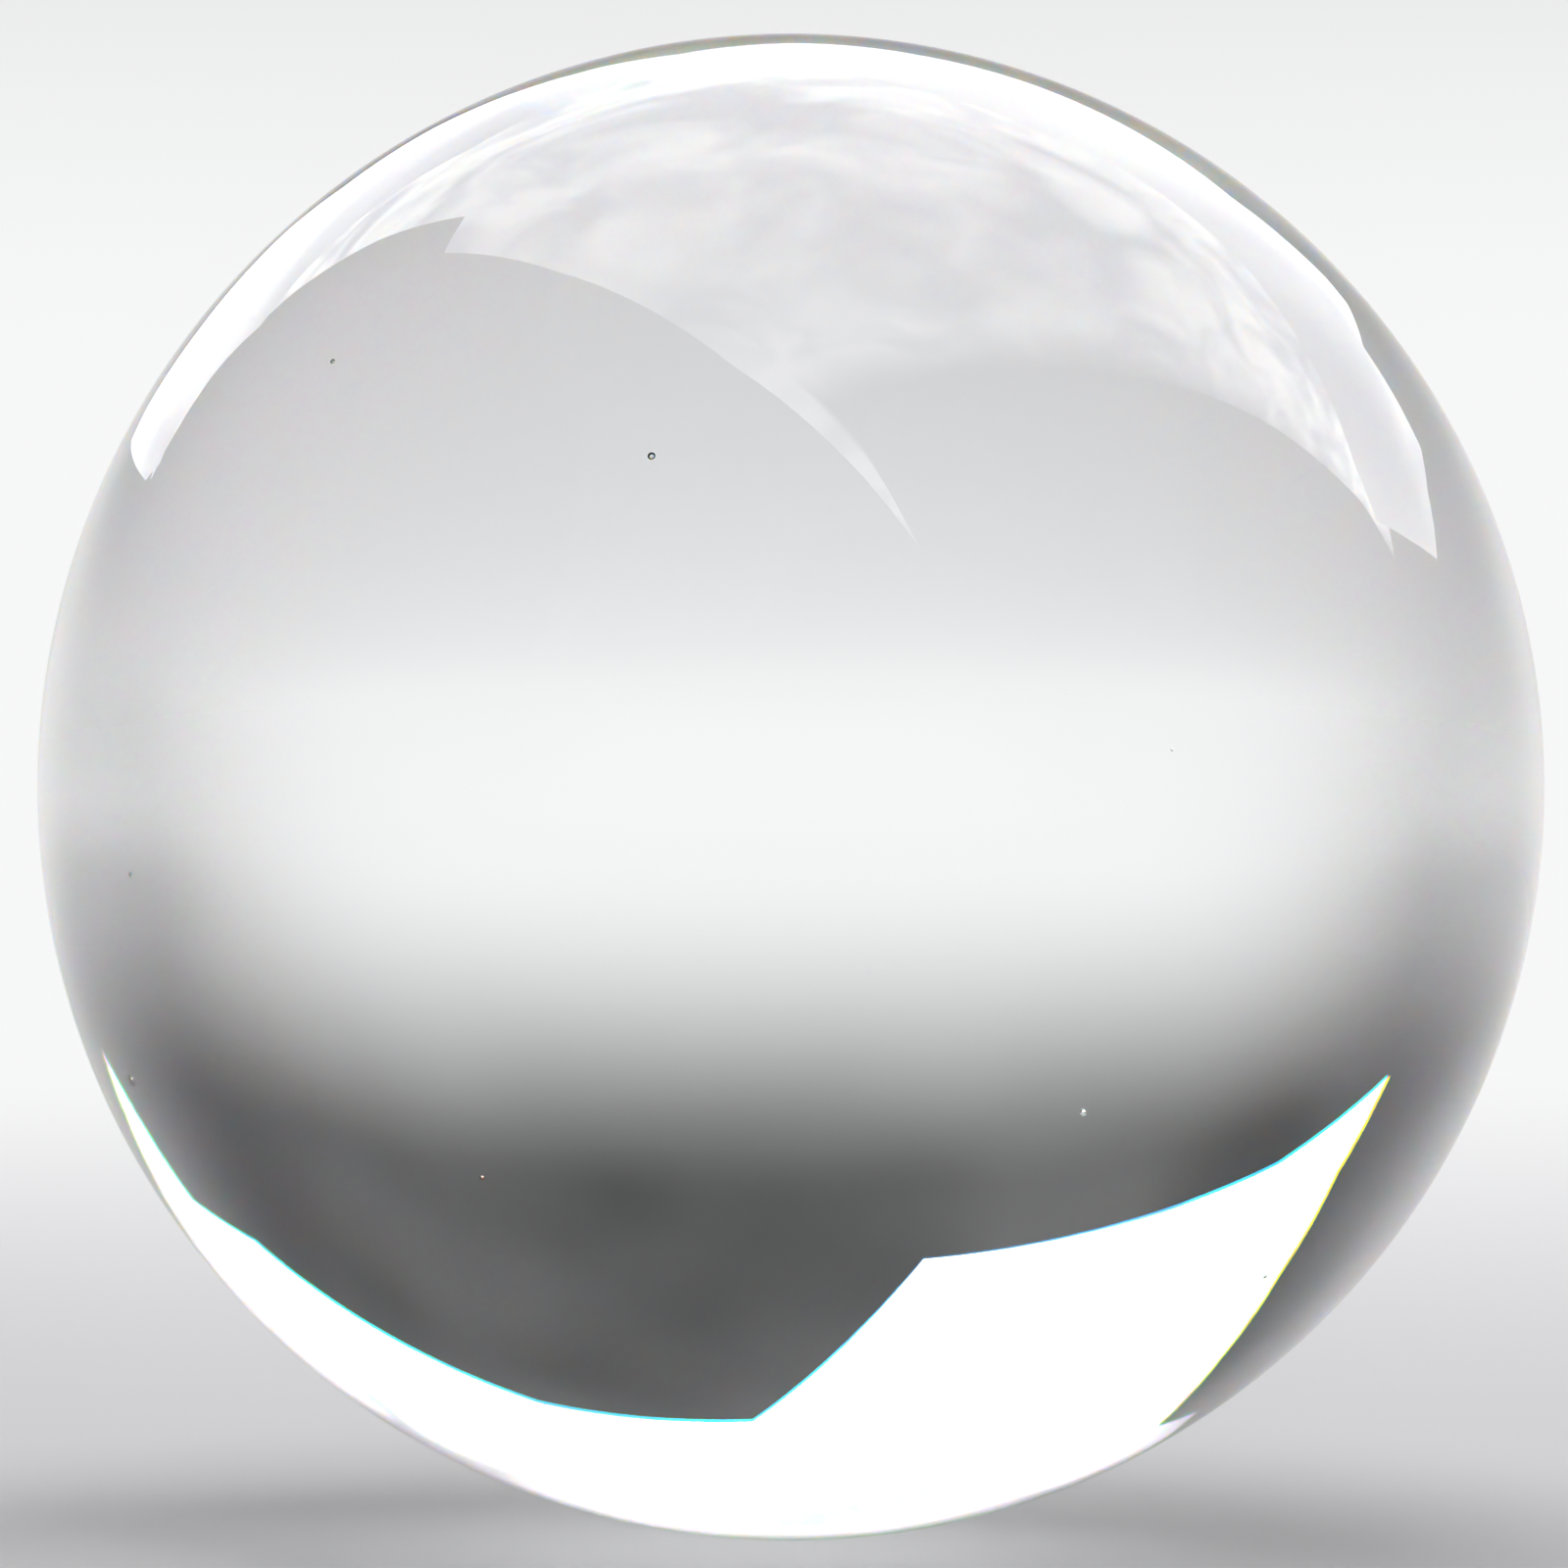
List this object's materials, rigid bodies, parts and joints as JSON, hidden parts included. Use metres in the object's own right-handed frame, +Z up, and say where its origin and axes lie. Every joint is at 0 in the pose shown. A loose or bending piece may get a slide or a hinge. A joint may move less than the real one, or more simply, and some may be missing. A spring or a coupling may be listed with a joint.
{
  "type": "glass lens ball",
  "caption": "Solid clear optical glass sphere, polished all over, that shows an upside-down view of what is behind it.",
  "frame": {"origin": "the ball's centre", "axes": "+Z up, from the point that rests in a stand to the top; the ball is alike in every direction"},
  "size_m": [0.08, 0.08, 0.08],
  "materials": {
    "optical_glass": "polished clear"
  },
  "bodies": {
    "root": {"glass_ball": "optical_glass"}
  },
  "joints": []
}
